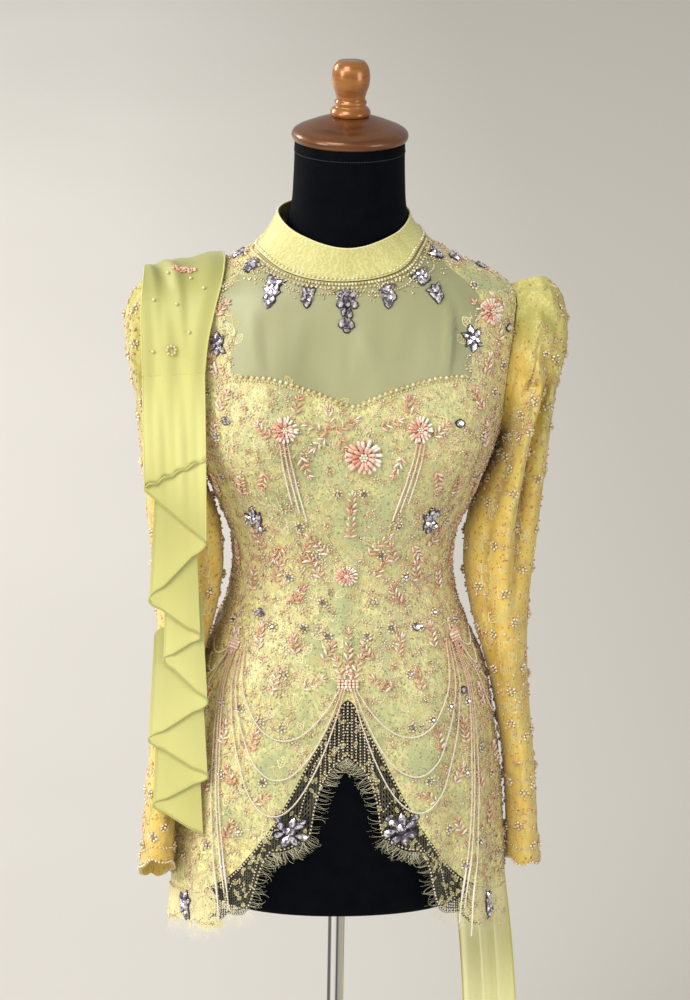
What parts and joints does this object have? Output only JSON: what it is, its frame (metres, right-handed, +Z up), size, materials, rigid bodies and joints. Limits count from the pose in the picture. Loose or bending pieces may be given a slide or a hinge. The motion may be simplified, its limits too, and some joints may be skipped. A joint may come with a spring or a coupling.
{
  "type": "beaded kebaya blouse with shawl on a dress form",
  "caption": "Long-sleeved lace and satin blouse with stand collar, bead tassels, crystals and a draped chiffon shawl, worn by a limbless dress form on a round-footed stand.",
  "frame": {"origin": "centre of the stand's underside, on the pole's axis", "axes": "+Z up, the front of the blouse faces -Y, the wearer's left is at +X"},
  "size_m": [0.4592, 0.32, 1.512],
  "materials": {
    "lace_on_satin": "satin",
    "satin": "satin",
    "lace_on_gold": "matte",
    "chiffon": "matte",
    "jersey": "matte",
    "bead": "gloss",
    "crystal": "gloss",
    "petal": "gloss",
    "copper_paint": "gloss",
    "chrome": "gloss"
  },
  "bodies": {
    "root": {"back_left": "lace_on_satin", "back_right": "lace_on_satin", "beads_centre": "bead", "beads_left": "bead", "beads_right": "bead", "collar": "lace_on_satin", "crystal_front_hem_left": "crystal", "crystal_front_hem_right": "crystal", "crystal_neck_1": "crystal", "crystal_neck_10": "crystal", "crystal_neck_11": "crystal", "crystal_neck_12": "crystal", "crystal_neck_2": "crystal", "crystal_neck_3": "crystal", "crystal_neck_4": "crystal", "crystal_neck_5": "crystal", "crystal_neck_6": "crystal", "crystal_neck_7": "crystal", "crystal_neck_8": "crystal", "crystal_neck_9": "crystal", "crystal_shoulder_left": "crystal", "crystal_shoulder_right": "crystal", "crystal_side_hem_left": "crystal", "crystal_side_hem_right": "crystal", "crystal_waist_left": "crystal", "crystal_waist_right": "crystal", "dress_form": "jersey", "finial": "copper_paint", "flower_bust_left": "petal", "flower_bust_right": "petal", "flower_centre": "petal", "flower_shoulder_left": "petal", "flower_waist": "petal", "foot": "chrome", "front_centre": "lace_on_satin", "front_side_left": "lace_on_satin", "front_side_right": "lace_on_satin", "lace_back": "lace_on_gold", "lace_front_left": "lace_on_gold", "lace_front_right": "lace_on_gold", "neck_cap": "copper_paint", "pole": "chrome", "shawl_back": "chiffon", "shawl_cascade": "chiffon", "shawl_front": "chiffon", "shawl_shoulder": "chiffon", "shawl_tail": "chiffon", "sleeve_left": "lace_on_gold", "sleeve_right": "lace_on_gold", "yoke": "satin"}
  },
  "joints": []
}
